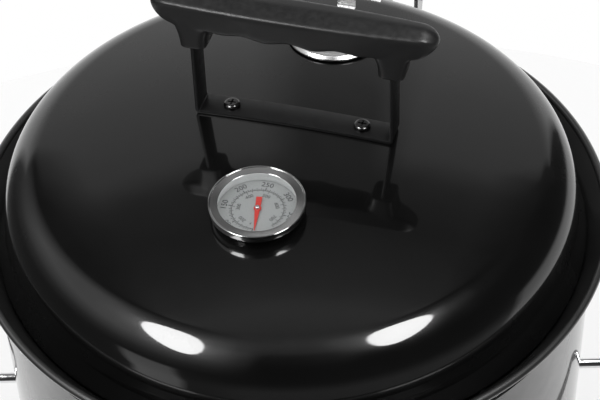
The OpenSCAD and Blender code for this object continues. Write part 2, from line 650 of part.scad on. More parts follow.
module door_leaf_rivets() color(steel) door_rivet_places(false) rivet(1.6 + sheet_t + 1.5);

// ---- Grates and pans ----
grate_ring_r = 205;
// A wire cooking grate with its bars' centres on z
module grate(r, z, pitch, bar_r) color(chromed) translate([0, 0, z]) {
    rotate_extrude() translate([r, 0]) circle(r = 3, $fn = 32);
    bars = floor((r - 6) / pitch);
    for (i = [-bars:bars]) let (half = sqrt(r * r - i * i * pitch * pitch))
        translate([i * pitch, half, 0]) rotate([90, 0, 0]) cylinder(r = bar_r, h = 2 * half, $fn = 24);
    for (y = [-r / 2, r / 2]) let (half = sqrt(r * r - y * y))
        translate([-half, y, -3]) rotate([0, 90, 0]) cylinder(r = 2.6, h = 2 * half, $fn = 24);
}
// Two bent-wire lifting grips that stand on a grate's bars
grip_wire_r = 2.4;
grip_bend = 8;
module grate_grips(r, z) color(chromed) for (s = [0, 1]) mirror([s, 0, 0])
    translate([r - 34.2, 0, z + 2]) for (m = [0, 1]) mirror([0, m, 0]) {
        translate([0, 38, 0]) cylinder(r = grip_wire_r, h = 20 - grip_bend);
        translate([0, 38 - grip_bend, 20 - grip_bend]) rotate([90, 0, 90]) rotate_extrude(angle = 90)
            translate([grip_bend, 0]) circle(r = grip_wire_r, $fn = 48);
        translate([0, -0.01, 20]) rotate([-90, 0, 0])
            cylinder(r = grip_wire_r, h = 38 - grip_bend + 0.01);
    }
module upper_grate() grate(grate_ring_r, upper_grate_z, 20.4, 2);
module lower_grate() grate(grate_ring_r, lower_grate_z, 20.4, 2);
module upper_grate_grips() grate_grips(grate_ring_r, upper_grate_z);
module lower_grate_grips() grate_grips(grate_ring_r, lower_grate_z);
// A dished pan whose rolled rim stands on z
module pan(r, depth, corner, z) color(enamel) translate([0, 0, z]) rotate_extrude($fn = 180) {
    difference() {
        polygon(concat([[0, -depth], [r - 18 - corner, -depth]],
            arc(r - 18 - corner, corner - depth, corner, -90, -20, 8), [[r - 8, 0], [r, 0], [r, 1.2],
            [0, 1.2]]));
        polygon(concat([[-1, sheet_t - depth], [r - 18 - corner, sheet_t - depth]],
            arc(r - 18 - corner, corner - depth, corner - sheet_t, -90, -20, 8),
            [[r - 8 - sheet_t, 1.2], [r - 8 - sheet_t, 5], [-1, 5]]));
    }
    translate([r, 1.4]) circle(r = 2, $fn = 32);
}
module water_pan() pan(198, 62, 30, water_pan_z);
charcoal_r = 198;
charcoal_depth = 48;
module charcoal_pan() pan(charcoal_r, charcoal_depth, 24, charcoal_pan_z);
module charcoal_grate()
    grate(150, charcoal_pan_z - charcoal_depth + sheet_t + 5.8, 21.2, 2.5);

// Angle brackets inside the wall that hold up a grate or pan at that level
bracket_w = 24;
bracket_top = 3.6;
module brackets(level, reach, azimuths = level_azimuths) color(steel) difference() {
    let (z = level - bracket_top) intersection() {
        ring_of(azimuths) {
            translate([reach, -bracket_w / 2, z - 1.6]) cube([wall_r - reach, bracket_w, 1.6]);
            translate([wall_in_r - 2.2, -bracket_w / 2, z - 20]) cube([3, bracket_w, 20]);
        }
        translate([0, 0, z - 40]) cylinder(r = wall_in_r, h = 80, $fn = 180);
    }
    level_holes(level, azimuths);
}
module upper_grate_brackets() brackets(upper_grate_z, 199);
module lower_grate_brackets() brackets(lower_grate_z, 199);
module water_pan_brackets() brackets(water_pan_z, 190, water_pan_azimuths);
module charcoal_pan_brackets() brackets(charcoal_pan_z, 190);
module level_bolts(level, azimuths = level_azimuths)
    ring_of(azimuths) translate([wall_r, 0, level - level_drop]) rotate([0, 90, 0]) {
        pan_screw(2.5, 11, 4.8, 3);
        translate([0, 0, -sheet_t - 2.2 - 4.2]) hex_nut(4.6, 2.5, 4);
    }
module bracket_bolts() color(steel) {
    for (z = [upper_grate_z, lower_grate_z, charcoal_pan_z]) level_bolts(z);
    level_bolts(water_pan_z, water_pan_azimuths);
}

// ---- Legs ----
leg_tube_r = 11;
foot_r = 13.5;
foot_x = hinge_y + 9 - foot_r;
leg_top_x = wall_r + leg_tube_r + 0.5;
leg_top_z = 288;
foot_h = 10;
leg_splay = atan2(foot_x - leg_top_x, leg_top_z - foot_h);
// A tube leaning outwards from the bowl's wall down to its foot, modelled along +X
module leg_tube(r) intersection() {
    translate([foot_x, 0, foot_h]) rotate([0, -leg_splay, 0]) translate([0, 0, -10])
        cylinder(r = r, h = 400);
    translate([0, -big / 2, foot_h]) cube([big, big, leg_top_z - foot_h]);
}
module leg() color(moulding) difference() {
    leg_tube(leg_tube_r);
    intersection() {
        leg_tube(leg_tube_r - 1.4);
        translate([0, -big / 2, 0]) cube([big, big, leg_top_z - 1.5]);
    }
    leg_bolts_on_x() translate([0, 0, -60]) cylinder(r = 3.1, h = 80);
}
leg_bolt_zs = [244, 274];
module leg_bolts_on_x() for (z = leg_bolt_zs) let (x = foot_x - (z - foot_h) * tan(leg_splay))
    translate([x + leg_tube_r - 0.2, 0, z]) rotate([0, 90, 0]) children();
module leg_bolt_places() ring_of(leg_azimuths) leg_bolts_on_x() translate([0, 0, -28]) children();
module leg_front() at_azimuth(leg_azimuths[0]) leg();
module leg_rear_right() at_azimuth(leg_azimuths[1]) leg();
module leg_rear_left() at_azimuth(leg_azimuths[2]) leg();
module leg_feet() color(moulding) ring_of(leg_azimuths) translate([foot_x, 0, 0]) rotate_extrude()
    polygon([[0, 0], [foot_r - 1.5, 0], [foot_r, 1.5], [foot_r, 20], [12, 22], [12, foot_h], [0, foot_h]]);
module leg_bolts() color(steel) ring_of(leg_azimuths) {
    leg_bolts_on_x() translate([0, 0, 0.4]) pan_screw(3, 34, 5.6, 3.4);
    for (z = leg_bolt_zs) translate([wall_in_r - 5.2, 0, z]) rotate([0, 90, 0]) hex_nut(5.6, 3, 5);
}

// ---- Air intake under the bowl ----
module bottom_damper() color(steel) translate([0, 0, bowl_bottom_z - 1.9]) difference() {
    union() {
        cylinder(r = vent_r, h = 1.5);
        translate([vent_r - 4, -8, 0]) cube([30, 16, 1.5]);
        translate([vent_r + 24.5, -8, -14]) cube([1.5, 16, 15.5]);
    }
    vent_cutters(vent_hole_r - 0.5, vent_hole_ring);
    translate([0, 0, -5]) cylinder(r = 3.1, h = 10);
}
module bottom_damper_rivet() color(steel) translate([0, 0, bowl_bottom_z]) {
    translate([0, 0, -2.4]) cylinder(r = 3.05, h = 5);
    translate([0, 0, -4.4]) cylinder(r = 6, h = 2);
    translate([0, 0, sheet_t + 0.1]) cylinder(r = 6, h = 2);
}

lid_shell();
lid_hinge_leaf();
lid_hinge_screws();
handle_strap();
handle_grip();
handle_plate_screws();
handle_plate_nuts();
grip_screws();
gauge_case();
gauge_lens();
gauge_dial();
gauge_needle();
gauge_stem();
gauge_nut();
vent_damper();
vent_rivet();
upper_barrel();
lower_barrel();
fire_bowl();
side_handle_left();
side_handle_right();
side_handle_nuts();
lid_hinge_bracket();
lid_hinge_pin();
hinge_bracket_bolts();
latch_plates();
latch_pins();
latch_keepers();
latch_rivets();
latch_lever_left();
latch_lever_right();
latch_loop_left();
latch_loop_right();
door_panel();
door_handle();
door_handle_screws();
door_hinge_leaves();
door_leaf_rivets();
barrel_hinge_leaves();
door_hinge_pins();
door_rivets();
upper_grate();
upper_grate_grips();
lower_grate();
lower_grate_grips();
water_pan();
charcoal_pan();
charcoal_grate();
upper_grate_brackets();
lower_grate_brackets();
water_pan_brackets();
charcoal_pan_brackets();
bracket_bolts();
leg_front();
leg_rear_right();
leg_rear_left();
leg_feet();
leg_bolts();
bottom_damper();
bottom_damper_rivet();
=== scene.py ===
"""Looks for the vertical drum smoker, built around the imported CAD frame.

Smooth revolved skins stand for the enamelled sheets, and the grip, strap, thermometer and vent are
remodelled at full detail. Outlines are in millimetres and finished meshes in metres, both in the CAD
frame: front -Y, up +Z.
"""

import json
import math

import bmesh
import bpy
from mathutils import Matrix, Vector


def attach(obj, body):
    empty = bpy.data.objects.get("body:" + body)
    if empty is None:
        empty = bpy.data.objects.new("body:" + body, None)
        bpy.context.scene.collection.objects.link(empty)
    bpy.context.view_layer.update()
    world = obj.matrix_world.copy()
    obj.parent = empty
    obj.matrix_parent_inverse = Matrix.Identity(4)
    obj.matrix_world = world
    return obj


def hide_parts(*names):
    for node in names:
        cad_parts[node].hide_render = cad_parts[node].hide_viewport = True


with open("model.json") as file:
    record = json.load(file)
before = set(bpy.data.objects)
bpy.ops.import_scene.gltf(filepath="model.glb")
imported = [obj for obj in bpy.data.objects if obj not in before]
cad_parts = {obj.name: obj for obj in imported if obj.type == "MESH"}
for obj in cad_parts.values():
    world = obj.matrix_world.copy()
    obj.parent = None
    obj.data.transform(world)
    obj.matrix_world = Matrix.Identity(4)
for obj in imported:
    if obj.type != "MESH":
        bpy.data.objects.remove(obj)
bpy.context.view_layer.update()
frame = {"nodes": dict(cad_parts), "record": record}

MM = 0.001

# Barrel, bowl and door: heights are above the floor, but the bead's is above the rim plane
WALL_R = 217.4
SHEET_T = 1.2
RIM_Z = 720
JOINT_Z = 480
BOWL_Z = 300
BOWL_BOTTOM_Z = 165
BOWL_CORNER = 58
SEAT_X = 213.4
BEAD_X = 227
BEAD_Z = 12.5
BEAD_R = 3
FOOT_BEAD_R = 2
SPIGOT_H = 14
SPIGOT_DEPTH = 12
SPIGOT_GAP = 0.4
DOOR_Z = 390
DOOR_H = 112
DOOR_HALF_ANGLE = 34
DOOR_CUT_DEPTH = 20

# Lid: heights are above the rim plane, and angles in degrees
LID_R = 204.2
SHOULDER_R = 30.7
CROWN_R = 1360
SKIRT_TOP = 34.2
SKIRT_BOTTOM = 18.7
SKIRT_R = 206.7
HEM_X = 211.2
HEM_Z = 1.5
HEM_R = 2.2
HEM_FROM = 22
HEM_TO = -275

# Handle: heights are above the rim plane
STRAP_SPAN = 145
STRAP_W = 20
STRAP_T = 2.5
STRAP_Y = 21
STRAP_TOP = 170
STRAP_BEND_R = 4.0
STRAP_CLEARANCE = 0.05
GRIP_HALF = 102
GRIP_W = 31
GRIP_TOP = 175.5
GRIP_UNDER = 150
GRIP_BOW = 13
WAVE_HALF = 58
WAVE_LENGTH = 34
WAVE_HEIGHT = 1.5
END_RISE_FROM = 78
END_RISE = 9
SOCKET_LOW = 134

# Thermometer and vents: heights are above the sheet they stand on
GAUGE_Y = -76
GAUGE_R = 33.2
GAUGE_H = 11
DIAL_R = 27.4
DIAL_Z = 2.6
PRINT_T = 0.05
LENS_Z = 8
BEZEL_IN_R = 26.6
VENT_Y = 123
VENT_R = 34.5
VENT_HOLES = 4
VENT_HOLE_R = 8
VENT_RING = 19
RIVET_R = 3.1

SHOULDER_X = LID_R - SHOULDER_R
CROWN_CZ = SKIRT_TOP - math.sqrt((CROWN_R - SHOULDER_R) ** 2 - SHOULDER_X**2)
CROWN_HALF = math.asin(SHOULDER_X / (CROWN_R - SHOULDER_R))
SKIRT_SLANT = math.acos(
    SHOULDER_R / math.hypot(SKIRT_R - SHOULDER_X, SKIRT_TOP - SKIRT_BOTTOM)
) - math.atan2(SKIRT_TOP - SKIRT_BOTTOM, SKIRT_R - SHOULDER_X)

# Camera: it looks at the rim's centre from the front right, and from above
VIEW_AZIMUTH = math.radians(17.2)
VIEW_PITCH = math.radians(43.6)
VIEW_ROLL = math.radians(-2.15)
VIEW_DISTANCE = 1419
VIEW_OFFSET = (5.9, 10.9)
LENS_LENGTH = 116.7
SENSOR_WIDTH = 36

SHEET_SEGMENTS = 320


# ---------------------------------------------------------------- mesh helpers
def linked(name, data):
    """A new object in the scene."""
    made = bpy.data.objects.new(name, data)
    bpy.context.scene.collection.objects.link(made)
    return made


def paint(piece, material):
    slots = piece.material_slots
    if not slots:
        piece.data.materials.append(material)
    for s in slots:
        s.material = material


def new_piece(name, mesh, material, body, replaced=(), sharp=35):
    """A finished piece: smooth but for its sharp edges, painted, and riding on its body."""
    piece = linked(name, mesh)
    mesh.polygons.foreach_set("use_smooth", [True] * len(mesh.polygons))
    mesh.set_sharp_from_angle(angle=math.radians(sharp))
    mesh.update()
    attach(piece, body)
    if replaced:
        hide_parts(*replaced)
    paint(piece, material)
    return piece


def arc(cx, cy, r, start, end, steps):
    """Points on an arc, with angles in degrees."""
    angles = [math.radians(start + (end - start) * i / steps) for i in range(steps + 1)]
    return [(cx + r * math.cos(a), cy + r * math.sin(a)) for a in angles]


def straight(start, end, steps):
    """Points along a line, so that the shading of a long flat stays flat."""
    return [tuple(Vector(start).lerp(Vector(end), i / steps)) for i in range(steps + 1)]


def rounded(corners, steps=8):
    """A closed outline from (x, y) or (x, y, radius) corners, each corner turned by its radius."""
    out = []
    count = len(corners)
    for i, corner in enumerate(corners):
        here = Vector(corner[:2])
        radius = corner[2] if len(corner) > 2 else 0
        if not radius:
            out.append(tuple(here))
            continue
        a = Vector(corners[i - 1][:2]) - here
        b = Vector(corners[(i + 1) % count][:2]) - here
        half = a.angle(b) / 2
        back = min(radius / math.tan(half), a.length * 0.49, b.length * 0.49)
        radius = back * math.tan(half)
        inward = (a.normalized() + b.normalized()).normalized()
        centre = here + inward * (radius / math.sin(half))
        p = here + a.normalized() * back - centre
        q = here + b.normalized() * back - centre
        turn = p.angle_signed(q)
        for k in range(steps + 1):
            c = math.cos(-turn * k / steps)
            s = math.sin(-turn * k / steps)
            out.append((centre.x + p.x * c - p.y * s, centre.y + p.x * s + p.y * c))
    return out


def as_mesh(name, mesh):
    """Mesh data from a bmesh, which is freed."""
    data = bpy.data.meshes.new(name)
    mesh.to_mesh(data)
    mesh.free()
    return data


def revolved(name, outline, base_z=0.0, segments=256, matrix=None):
    """A closed solid made by turning a closed (radius, height) outline in millimetres."""
    turns = [2 * math.pi * k / segments for k in range(segments)]
    mesh = bmesh.new()
    rings = []
    for r, z in outline:
        height = (z + base_z) * MM
        around = [0.0] if r < 1e-6 else turns
        rings.append(
            [mesh.verts.new((r * math.cos(a) * MM, r * math.sin(a) * MM, height)) for a in around]
        )
    for lower, upper in zip(rings, rings[1:] + rings[:1]):
        if len(lower) == 1 and len(upper) == 1:
            continue
        for k in range(segments):
            n = (k + 1) % segments
            if len(lower) == 1:
                mesh.faces.new((lower[0], upper[n], upper[k]))
            elif len(upper) == 1:
                mesh.faces.new((lower[k], lower[n], upper[0]))
            else:
                mesh.faces.new((lower[k], lower[n], upper[n], upper[k]))
    bmesh.ops.recalc_face_normals(mesh, faces=mesh.faces)
    if matrix is not None:
        mesh.transform(matrix)
    return as_mesh(name, mesh)


def lofted(name, rings):
    """A capped solid skinned over rings of equal point counts, in metres."""
    mesh = bmesh.new()
    rows = [[mesh.verts.new(p) for p in ring] for ring in rings]
    count = len(rows[0])
    for lower, upper in zip(rows, rows[1:]):
        for k in range(count):
            n = (k + 1) % count
            mesh.faces.new((lower[k], lower[n], upper[n], upper[k]))
    mesh.faces.new(rows[0])
    mesh.faces.new(rows[-1])
    bmesh.ops.recalc_face_normals(mesh, faces=mesh.faces)
    return as_mesh(name, mesh)


def joined(name, meshes):
    """One mesh from several, which are dropped."""
    whole = bmesh.new()
    for part in meshes:
        whole.from_mesh(part)
        bpy.data.meshes.remove(part)
    return as_mesh(name, whole)


def applied(holder, name):
    """The mesh that an object's modifiers make of it; the object is dropped."""
    graph = bpy.context.evaluated_depsgraph_get()
    result = bpy.data.meshes.new_from_object(holder.evaluated_get(graph))
    result.name = name
    bpy.data.objects.remove(holder)
    return result


def cut(mesh, cutter):
    """The mesh with the cutter taken out of it; both are dropped."""
    holder = linked("cut_piece", mesh)
    tool = linked("cut_tool", cutter)
    modifier = holder.modifiers.new("cut", "BOOLEAN")
    modifier.operation = "DIFFERENCE"
    modifier.solver = "EXACT"
    modifier.object = tool
    result = applied(holder, mesh.name)
    bpy.data.objects.remove(tool)
    bpy.data.meshes.remove(mesh)
    bpy.data.meshes.remove(cutter)
    return result


def cylinder(radius, low, high, matrix):
    corners = [(0, low), (radius, low), (radius, high), (0, high)]
    return revolved("cylinder", corners, 0, 64, matrix)


def vent_holes(matrix, radius, low, high, with_rivet=True):
    """Cutters for a vent's ring of air holes and for its rivet."""
    cutters = [cylinder(RIVET_R, low, high, matrix)] if with_rivet else []
    for i in range(VENT_HOLES):
        a = math.radians(45 + 360 / VENT_HOLES * i)
        place = Matrix.Translation((VENT_RING * MM * math.cos(a), VENT_RING * MM * math.sin(a), 0))
        cutters.append(cylinder(radius, low, high, matrix @ place))
    return joined("holes", cutters)


def on_crown(y):
    """The frame that stands square on the lid's crown there; its unit is the metre."""
    return (
        Matrix.Translation((0, 0, (RIM_Z + CROWN_CZ) * MM))
        @ Matrix.Rotation(-math.asin(y / CROWN_R), 4, "X")
        @ Matrix.Translation((0, 0, CROWN_R * MM))
    )


# ---------------------------------------------------------------- materials
class Nodes:
    """Short calls that add and wire the nodes of one tree."""

    def node(self, kind, **settings):
        made = self.tree.nodes.new(kind)
        for key, value in settings.items():
            setattr(made, key, value)
        return made

    def link(self, source, target):
        self.tree.links.new(source, target)
        return source

    def math(self, operation, *values):
        """Each value is a number or a socket."""
        made = self.node("ShaderNodeMath", operation=operation)
        for socket, value in zip(made.inputs, values):
            if isinstance(value, (int, float)):
                socket.default_value = value
            else:
                self.link(value, socket)
        return made.outputs[0]

    def noise(self, scale, detail=4.0, roughness=0.5, vector=None):
        made = self.node("ShaderNodeTexNoise")
        made.inputs["Scale"].default_value = scale
        made.inputs["Detail"].default_value = detail
        made.inputs["Roughness"].default_value = roughness
        self.link(vector or self.coordinates, made.inputs["Vector"])
        return made.outputs["Fac"]

    def ramp(self, source, stops):
        """Stops are (position, grey)."""
        made = self.node("ShaderNodeValToRGB")
        elements = made.color_ramp.elements
        while len(elements) < len(stops):
            elements.new(0.5)
        for element, (position, value) in zip(elements, stops):
            element.position = position
            element.color = (value, value, value, 1)
        self.link(source, made.inputs["Fac"])
        return made.outputs["Color"]

    def between(self, source, low, high, start=0.0, end=1.0):
        """The source's range start to end, turned into low to high."""
        made = self.node("ShaderNodeMapRange")
        for key, value in zip(("From Min", "From Max", "To Min", "To Max"), (start, end, low, high)):
            made.inputs[key].default_value = value
        self.link(source, made.inputs["Value"])
        return made.outputs["Result"]

    def mixed(self, factor, a, b):
        """A colour mix; a and b are colours or sockets."""
        made = self.node("ShaderNodeMix", data_type="RGBA")
        self.link(factor, made.inputs["Factor"])
        for name, value in (("A", a), ("B", b)):
            socket = next(s for s in made.inputs if s.name == name and s.type == "RGBA")
            if isinstance(value, tuple):
                socket.default_value = (*value, 1)
            else:
                self.link(value, socket)
        return next(s for s in made.outputs if s.type == "RGBA")


class Shader(Nodes):
    """A material with one Principled node."""

    def __init__(self, name, color, roughness, metallic=0.0, **settings):
        self.material = bpy.data.materials.new(name)
        self.material.use_nodes = True
        self.tree = self.material.node_tree
        self.bsdf = self.tree.nodes["Principled BSDF"]
        self.output = self.tree.nodes["Material Output"]
        self.set("Base Color", (*color, 1))
        self.set("Roughness", roughness)
        self.set("Metallic", metallic)
        for socket, value in settings.items():
            self.set(socket.replace("_", " ").title().replace("Ior", "IOR"), value)
        self.coordinates = self.node("ShaderNodeTexCoord").outputs["Object"]
        self.normal = None

    def set(self, socket, value):
        self.bsdf.inputs[socket].default_value = value

    def stretched(self, x, y, z):
        made = self.node("ShaderNodeMapping")
        made.inputs["Scale"].default_value = (x, y, z)
        self.link(self.coordinates, made.inputs["Vector"])
        return made.outputs["Vector"]

    def bump(self, height, distance):
        """Adds relief of that depth in metres over what is there."""
        made = self.node("ShaderNodeBump")
        made.inputs["Strength"].default_value = 1.0
        made.inputs["Distance"].default_value = distance
        self.link(height, made.inputs["Height"])
        if self.normal is not None:
            self.link(self.normal, made.inputs["Normal"])
        self.normal = self.link(made.outputs["Normal"], self.bsdf.inputs["Normal"])

    def color(self, source):
        self.link(source, self.bsdf.inputs["Base Color"])

    def roughness(self, source):
        self.link(source, self.bsdf.inputs["Roughness"])


class World(Nodes):
    """The studio's surroundings, by direction, as shiny things see them."""

    def __init__(self):
        world = bpy.data.worlds.new("studio")
        bpy.context.scene.world = world
        world.use_nodes = True
        self.tree = world.node_tree
        self.background = self.tree.nodes["Background"]
        self.coordinates = self.node("ShaderNodeTexCoord").outputs["Generated"]


def enamel(name, tone, haze, rough):
    """Glossy black porcelain enamel: orange peel, faint smudges and dust-fine specks."""
    s = Shader(
        name, (tone,) * 3, rough,
        specular_ior_level=haze, coat_weight=1.0, coat_roughness=0.05, coat_ior=1.5,
    )
    patches = s.noise(14, 5, 0.6)
    specks = s.between(s.noise(2600, 1, 0.5), 0, 1, 0.74, 0.8)
    mottled = s.mixed(patches, (0.7 * tone,) * 3, (1.4 * tone,) * 3)
    s.color(s.mixed(specks, mottled, (tone + 0.014,) * 3))
    s.roughness(s.between(s.noise(22, 6, 0.65), rough - 0.05, rough + 0.08, 0.3, 0.7))
    s.bump(s.noise(16, 2), 0.00012)
    s.bump(s.noise(240, 2), 0.0000055)
    s.bump(s.noise(1300, 2), 0.0000006)
    s.link(s.normal, s.bsdf.inputs["Coat Normal"])
    return s.material


def powder_coat():
    """Satin black powder coat with its fine pebbled skin."""
    s = Shader("black_powder_coat", (0.008, 0.008, 0.0083), 0.36, specular_ior_level=0.2)
    worn = s.noise(60, 5, 0.6)
    s.color(s.mixed(worn, (0.006, 0.006, 0.0062), (0.012, 0.012, 0.0123)))
    s.roughness(s.between(s.noise(180, 4), 0.30, 0.46, 0.3, 0.7))
    s.bump(s.noise(900, 3, 0.6), 0.00002)
    return s.material


def moulded(name, tone, rough):
    """Matte moulded plastic with a spark-eroded grain and faint flow marks."""
    s = Shader(name, tone, rough, specular_ior_level=0.3)
    dark = tuple(0.8 * c for c in tone)
    light = tuple(1.45 * c for c in tone)
    s.color(s.mixed(s.noise(45, 6, 0.65, s.stretched(0.4, 1, 1)), dark, light))
    s.roughness(s.between(s.noise(260, 4), rough - 0.06, rough + 0.08, 0.3, 0.7))
    s.bump(s.noise(1700, 3, 0.65), 0.00003)
    s.bump(s.noise(60, 3), 0.00008)
    return s.material


def polar(s, centre_matrix):
    """Coordinates for spun metal: radius, a little of the angle, and height about an axis."""
    inverse = centre_matrix.inverted()
    rows = []
    for row in range(3):
        made = s.node("ShaderNodeVectorMath", operation="DOT_PRODUCT")
        made.inputs[1].default_value = tuple(inverse[row][:3])
        s.link(s.coordinates, made.inputs[0])
        rows.append(s.math("ADD", made.outputs["Value"], float(inverse[row][3])))
    x, y, z = rows
    radius = s.math("SQRT", s.math("ADD", s.math("MULTIPLY", x, x), s.math("MULTIPLY", y, y)))
    angle = s.math("ARCTAN2", y, x)
    out = s.node("ShaderNodeCombineXYZ")
    for socket, value, scale in zip(out.inputs, (radius, angle, z), (900, 1.5, 900)):
        s.link(s.math("MULTIPLY", value, scale), socket)
    return out.outputs[0]


def spun_steel(name, matrix, tone, low, high):
    """Stainless steel with turning marks round the given axis; low to high is its roughness."""
    s = Shader(name, (tone, tone, tone * 0.99), 0.25, 1.0)
    rings = polar(s, matrix)
    marks = s.noise(4.2, 6, 0.7, rings)
    s.color(s.mixed(marks, (tone * 0.82,) * 3, (tone * 1.14,) * 3))
    s.roughness(s.between(s.noise(2.6, 5, 0.7, rings), low, high, 0.3, 0.7))
    s.bump(marks, 0.000006)
    return s.material


def brushed_steel(name, stretch, tone=0.58, low=0.24, high=0.42):
    """Stainless sheet brushed along the axis whose stretch is small."""
    s = Shader(name, (tone, tone, tone), 0.3, 1.0)
    grain = s.stretched(*stretch)
    marks = s.noise(1, 6, 0.7, grain)
    s.color(s.mixed(marks, (tone * 0.8,) * 3, (tone * 1.15,) * 3))
    s.roughness(s.between(s.noise(1.4, 5, 0.65, grain), low, high, 0.3, 0.7))
    s.bump(marks, 0.000008)
    return s.material


def zinc():
    """Bright zinc plate: mottled crystals with a faint blue cast."""
    s = Shader("zinc_plate", (0.55, 0.56, 0.58), 0.34, 1.0)
    patches = s.noise(420, 5, 0.6)
    s.color(s.mixed(patches, (0.42, 0.43, 0.45), (0.66, 0.67, 0.68)))
    s.roughness(s.between(s.noise(700, 4), 0.26, 0.46, 0.3, 0.7))
    s.bump(s.noise(1500, 3), 0.000008)
    return s.material


def chrome():
    """Bright chrome plate over drawn wire: clean, with soft handling haze."""
    s = Shader("chrome_plate", (0.78, 0.78, 0.79), 0.1, 1.0)
    s.color(s.mixed(s.noise(90, 4), (0.70, 0.70, 0.71), (0.82, 0.82, 0.83)))
    s.roughness(s.between(s.noise(60, 6, 0.7), 0.05, 0.2, 0.35, 0.7))
    s.bump(s.noise(500, 3), 0.000006)
    return s.material


def dial_print():
    """Satin silver print on a tin dial."""
    s = Shader("dial_silver", (0.42, 0.42, 0.42), 0.42, 0.25)
    s.color(s.mixed(s.noise(900, 5, 0.7), (0.38, 0.38, 0.38), (0.47, 0.47, 0.47)))
    s.roughness(s.between(s.noise(500, 4), 0.36, 0.52, 0.3, 0.7))
    s.bump(s.noise(2600, 3), 0.000004)
    return s.material


def dial_ink():
    """Black screen-printed ink, a little uneven."""
    s = Shader("dial_ink", (0.02, 0.02, 0.02), 0.5)
    s.color(s.mixed(s.noise(1800, 4), (0.012, 0.012, 0.012), (0.045, 0.045, 0.045)))
    s.bump(s.noise(4000, 2), 0.000003)
    return s.material


def needle_paint():
    """Red paint on a stamped needle."""
    s = Shader("needle_paint", (0.66, 0.03, 0.02), 0.4)
    s.color(s.mixed(s.noise(700, 4), (0.58, 0.02, 0.014), (0.78, 0.05, 0.035)))
    s.roughness(s.between(s.noise(900, 3), 0.32, 0.5, 0.3, 0.7))
    s.bump(s.noise(2400, 2), 0.000004)
    return s.material


def clear_glass():
    """A thin flat lens: see-through, with the shine of its faces and a trace of dust."""
    s = Shader("lens_glass", (0.9, 0.91, 0.91), 0.03, 1.0)
    s.roughness(s.between(s.noise(400, 5), 0.015, 0.07, 0.4, 0.75))
    s.bump(s.noise(90, 2), 0.000006)
    clear = s.node("ShaderNodeBsdfTransparent")
    clear.inputs["Color"].default_value = (0.97, 0.98, 0.98, 1)
    facing = s.node("ShaderNodeLayerWeight")
    facing.inputs["Blend"].default_value = 0.06
    mix = s.node("ShaderNodeMixShader")
    s.link(facing.outputs["Facing"], mix.inputs[0])
    s.link(clear.outputs[0], mix.inputs[1])
    s.link(s.bsdf.outputs[0], mix.inputs[2])
    s.link(mix.outputs[0], s.output.inputs["Surface"])
    return s.material


GAUGE = on_crown(GAUGE_Y)
VENT = on_crown(VENT_Y)
UPRIGHT = Matrix.Identity(4)

ENAMEL = enamel("black_enamel", 0.003, 0.1, 0.24)
BODY_ENAMEL = enamel("body_enamel", 0.013, 0.5, 0.42)
BLACK_STEEL = powder_coat()
GRIP_PLASTIC = moulded("grip_plastic", (0.012, 0.012, 0.0122), 0.36)
FOOT_PLASTIC = moulded("foot_plastic", (0.024, 0.024, 0.024), 0.55)
BEZEL_STEEL = spun_steel("bezel_steel", GAUGE, 0.52, 0.07, 0.17)
VENT_STEEL = spun_steel("vent_steel", VENT, 0.48, 0.2, 0.38)
SHEET_STEEL = brushed_steel("brushed_sheet", (25, 1400, 1400))
LEVER_STEEL = brushed_steel("brushed_lever", (1400, 1400, 30))
DAMPER_STEEL = spun_steel("damper_steel", UPRIGHT, 0.55, 0.25, 0.42)
ZINC = zinc()
CHROME = chrome()
# pale grey painted onto the bezel's inner wall: painted light, standing for the light the wall
# catches
LIT_WALL_PAINT = moulded("bezel_wall_painted_light", (0.6, 0.6, 0.6), 0.4)
BLACK_ZINC = spun_steel("black_zinc", UPRIGHT, 0.1, 0.14, 0.28)
DIAL = dial_print()
INK = dial_ink()
RED = needle_paint()
GLASS = clear_glass()


# ---------------------------------------------------------------- lid
def lid_line(depth):
    """The lid's outline from its centre to the hem, that deep inside the sheet."""
    steps = 60
    radius = CROWN_R - depth
    angles = [CROWN_HALF * i / steps for i in range(steps + 1)]
    crown = [(radius * math.sin(a), CROWN_CZ + radius * math.cos(a)) for a in angles]
    shoulder = arc(
        SHOULDER_X, SKIRT_TOP, SHOULDER_R - depth,
        90 - math.degrees(CROWN_HALF), math.degrees(SKIRT_SLANT), 40,
    )
    # a slanted wall, then a crease where the flare to the hem starts
    crease = Vector((SKIRT_R - depth, SKIRT_BOTTOM))
    hem = Vector(arc(HEM_X, HEM_Z, HEM_R, 85 if depth else HEM_FROM, 0, 1)[0])
    above = (Vector(shoulder[-1]) - crease).normalized()
    below = (hem - crease).normalized()
    wall = straight(shoulder[-1], crease + above * 0.9, 8)
    bend = [
        tuple(crease + above * 0.4 + below * 0.1),
        tuple(crease + below * 0.4 + above * 0.1),
    ]
    flare = straight(crease + below * 0.9, hem - below * 0.5, 6)
    return crown + shoulder[1:] + wall[1:] + bend + flare


def lid_dome():
    hem = arc(HEM_X, HEM_Z, HEM_R, HEM_FROM, HEM_TO, 28)
    outline = lid_line(0) + hem + lid_line(SHEET_T)[::-1]
    shell = revolved("lid_dome", outline, RIM_Z, SHEET_SEGMENTS)
    shell = cut(shell, vent_holes(VENT, VENT_HOLE_R, -10, 10))
    new_piece("lid_dome", shell, ENAMEL, "lid", ["lid_shell"])


lid_dome()


# ---------------------------------------------------------------- barrel and bowl
def spigot(z):
    """The step at a section's top that the next section slips over, from outside to inside."""
    inner = WALL_R - SHEET_T
    return [
        (WALL_R, z, 0.3),
        (inner - SPIGOT_GAP, z),
        (inner - SPIGOT_GAP, z + SPIGOT_H, 0.3),
        (inner - SPIGOT_GAP - SHEET_T, z + SPIGOT_H, 0.3),
        (inner - SPIGOT_GAP - SHEET_T, z - SPIGOT_DEPTH),
        (inner, z - SPIGOT_DEPTH - 3),
    ]


def foot_bead(z):
    """The rolled bead at a section's foot, from the inner wall round to the outer one."""
    return arc(WALL_R, z + FOOT_BEAD_R, FOOT_BEAD_R, -90, 90, 12)


